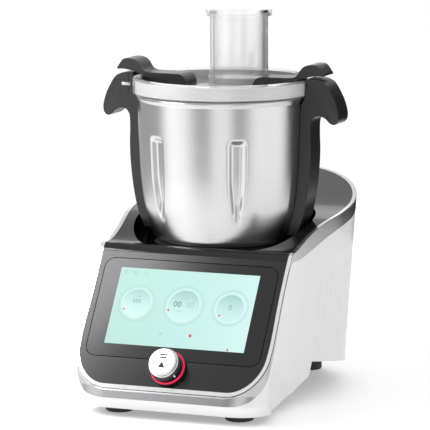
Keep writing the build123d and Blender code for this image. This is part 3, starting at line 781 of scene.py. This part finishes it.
def arc(centre, radius, start, end, steps=6):
    turns = [radians(start + (end - start) * i / steps) for i in range(steps + 1)]
    return [(centre[0] + radius * cos(a), centre[1] + radius * sin(a)) for a in turns]


cap_profile = [(0.02, 19.55), (8, 19.55), (12.6, 19.6)] + arc((13.6, 18.4), 1.2, 90, 0) + [(14.8, 17.3)]
cap_profile += [(14.1, 17.1), (14.1, 16.7), (15.0, 16.5)] + arc((15.2, 15.7), 0.8, 90, 0)
cap_profile += [(16.0, 13.4), (15.7, 12.5), (3.2, 12.5), (3.2, 15.5), (0.02, 15.5)]
cap = turned_on_panel("knob_top", cap_profile)
sharpen(cap, 50)
piece(cap, "knob", KNOB_METAL, ["knob_cap"])
ring_profile = [(16.9, 2.1), (18.3, 2.1)] + arc((17.6, 3.5), 0.7, 0, 180, 10)
piece(turned_on_panel("light_ring", ring_profile), "base", RED, ["knob_light_ring"])
inner_profile = [(10.5, 2.05), (16.8, 2.05), (16.8, 3.0), (16.4, 3.3), (12.4, 3.3), (10.5, 3.0)]
piece(turned_on_panel("knob_well", inner_profile), "base", KNOB_BLACK)
TICK_TURN, TICK_HALF = radians(-42), 0.05
tick = [(r * cos(TICK_TURN + a), KNOB_V + r * sin(TICK_TURN + a))
        for r, a in ((16.3, -TICK_HALF), (16.3, TICK_HALF), (16.75, TICK_HALF), (16.75, -TICK_HALF))]
piece(plate_on_panel("knob_tick", tick, 7.2, 11.2), "knob", WHITE)

# ------------------------------------------------------------------ marks on the knob
SIGNS = [bar(0, KNOB_V + 7.4, 7.0, 1.5), bar(0, KNOB_V + 4.4, 7.0, 1.5),
         [(-3.5, KNOB_V - 6.4), (3.5, KNOB_V - 6.4), (0, KNOB_V - 0.2)]]
marks = [plate_on_panel("sign", outline, KNOB_FACE - 0.05, KNOB_FACE + 0.12) for outline in SIGNS]
piece(join("knob_marks", marks), "knob", KNOB_BLACK)

# ------------------------------------------------------------------ stage, light and camera
FLOOR_REACH = 9000
floor_corners = [(x * FLOOR_REACH, y * FLOOR_REACH, 0) for x, y in ((-1, -1), (1, -1), (1, 1), (-1, 1))]
floor = mesh_object("floor", floor_corners, [(0, 1, 2, 3)])
floor.location.z = cad_box[0][2]
floor_paint = moulded("floor_paint", (0.85, 0.85, 0.85), 0.6, vary=0.01, grain=40, bump=0.0,
                      Emission_Color=(1, 1, 1, 1), Emission_Strength=0.34)
floor.data.materials.append(floor_paint)

world = bpy.data.worlds.new("studio")
bpy.context.scene.world = world
world.use_nodes = True
world.node_tree.nodes["Background"].inputs["Color"].default_value = (1, 1, 1, 1)
world.node_tree.nodes["Background"].inputs["Strength"].default_value = 0.8

# Light panels of the tent round the object: compass angle from the rear, half width, soft edge, gain, and the
# heights in metres between which the panel comes in
TENT_BASE = 0.5
TENT_PANELS = [(-138, 8, 26, 0.85, 0, 0), (162, 4, 18, 0.8, 0, 0), (100, 14, 26, 0.9, 0, 0),
               (34, 28, 18, -0.5, 0, 0), (-22, 16, 10, 0.75, 0.09, 0.15), (0, 34, 14, -0.5, 0.15, 0.09)]
TENT_R, TENT_HIGH = 900, 620


def tent_material():
    """Soft upright light panels on a grey tent; it is seen only in reflections."""
    made = bpy.data.materials.new("tent_light")
    made.use_nodes = True
    tree = made.node_tree
    tree.nodes.remove(tree.nodes["Principled BSDF"])
    glow = tree.nodes.new("ShaderNodeEmission")
    tree.links.new(glow.outputs["Emission"], tree.nodes["Material Output"].inputs["Surface"])
    place = tree.nodes.new("ShaderNodeTexCoord")
    split = tree.nodes.new("ShaderNodeSeparateXYZ")
    tree.links.new(place.outputs["Object"], split.inputs["Vector"])

    def maths(operation, *values):
        node = tree.nodes.new("ShaderNodeMath")
        node.operation = operation
        for socket, value in zip(node.inputs, values):
            if isinstance(value, (int, float)):
                socket.default_value = value
            else:
                tree.links.new(value, socket)
        return node.outputs["Value"]

    compass = maths("ARCTAN2", split.outputs["X"], split.outputs["Y"])
    total = TENT_BASE
    for angle, half, soft, gain, first, last in TENT_PANELS:
        away = maths("SUBTRACT", compass, radians(angle))
        away = maths("ABSOLUTE", maths("WRAP", away, pi, -pi))
        edge = tree.nodes.new("ShaderNodeMapRange")
        edge.interpolation_type = "SMOOTHSTEP"
        edge.inputs["From Min"].default_value = radians(half)
        edge.inputs["From Max"].default_value = radians(half + soft)
        edge.inputs["To Min"].default_value = gain
        edge.inputs["To Max"].default_value = 0.0
        tree.links.new(away, edge.inputs["Value"])
        panel_gain = edge.outputs["Result"]
        if first != last:
            window = tree.nodes.new("ShaderNodeMapRange")
            window.inputs["From Min"].default_value = min(first, last)
            window.inputs["From Max"].default_value = max(first, last)
            window.inputs["To Min"].default_value = 0.0 if first < last else 1.0
            window.inputs["To Max"].default_value = 1.0 if first < last else 0.0
            tree.links.new(split.outputs["Z"], window.inputs["Value"])
            panel_gain = maths("MULTIPLY", panel_gain, window.outputs["Result"])
        total = maths("ADD", panel_gain, total)
    tree.links.new(maths("MAXIMUM", total, 0.03), glow.inputs["Strength"])
    return made


def light_tent():
    steps = 128
    ring = [(TENT_R * sin(2 * pi * i / steps), TENT_R * cos(2 * pi * i / steps)) for i in range(steps)]
    points = [(x, y, 2.0) for x, y in ring] + [(x, y, TENT_HIGH) for x, y in ring]
    tent = mesh_object("light_tent", points, grid_faces(2, steps))
    tent.data.materials.append(tent_material())
    tent.visible_camera = tent.visible_diffuse = tent.visible_shadow = False


light_tent()


def area_light(name, place, aim, size, power):
    data = bpy.data.lights.new(name, "AREA")
    data.shape = "RECTANGLE"
    data.size, data.size_y = size
    data.energy = power
    lamp = bpy.data.objects.new(name, data)
    bpy.context.scene.collection.objects.link(lamp)
    lamp.location = place
    lamp.rotation_euler = (Vector(place) - Vector(aim)).to_track_quat("Z", "Y").to_euler()
    return lamp


area_light("front_softbox", (-0.82, -0.64, 0.86), (0, -0.12, 0.11), (0.5, 0.8), 11)

camera_data = bpy.data.cameras.new("camera")
camera = bpy.data.objects.new("camera", camera_data)
bpy.context.scene.collection.objects.link(camera)
bpy.context.scene.camera = camera
camera_data.sensor_width = 36.0
camera_data.lens = 260.05
camera_data.clip_start, camera_data.clip_end = 0.1, 30.0
CAMERA_AT = Vector((1.1926, -3.0227, 0.6974))
YAW, PITCH, ROLL = radians(21.712), radians(8.886), radians(-0.204)
turn = Matrix.Rotation(YAW, 4, "Z") @ Matrix.Rotation(pi / 2 - PITCH, 4, "X") @ Matrix.Rotation(ROLL, 4, "Z")
camera.matrix_world = Matrix.Translation(CAMERA_AT) @ turn

settings = bpy.context.scene.view_settings
settings.view_transform = "Standard"
settings.look = "None"
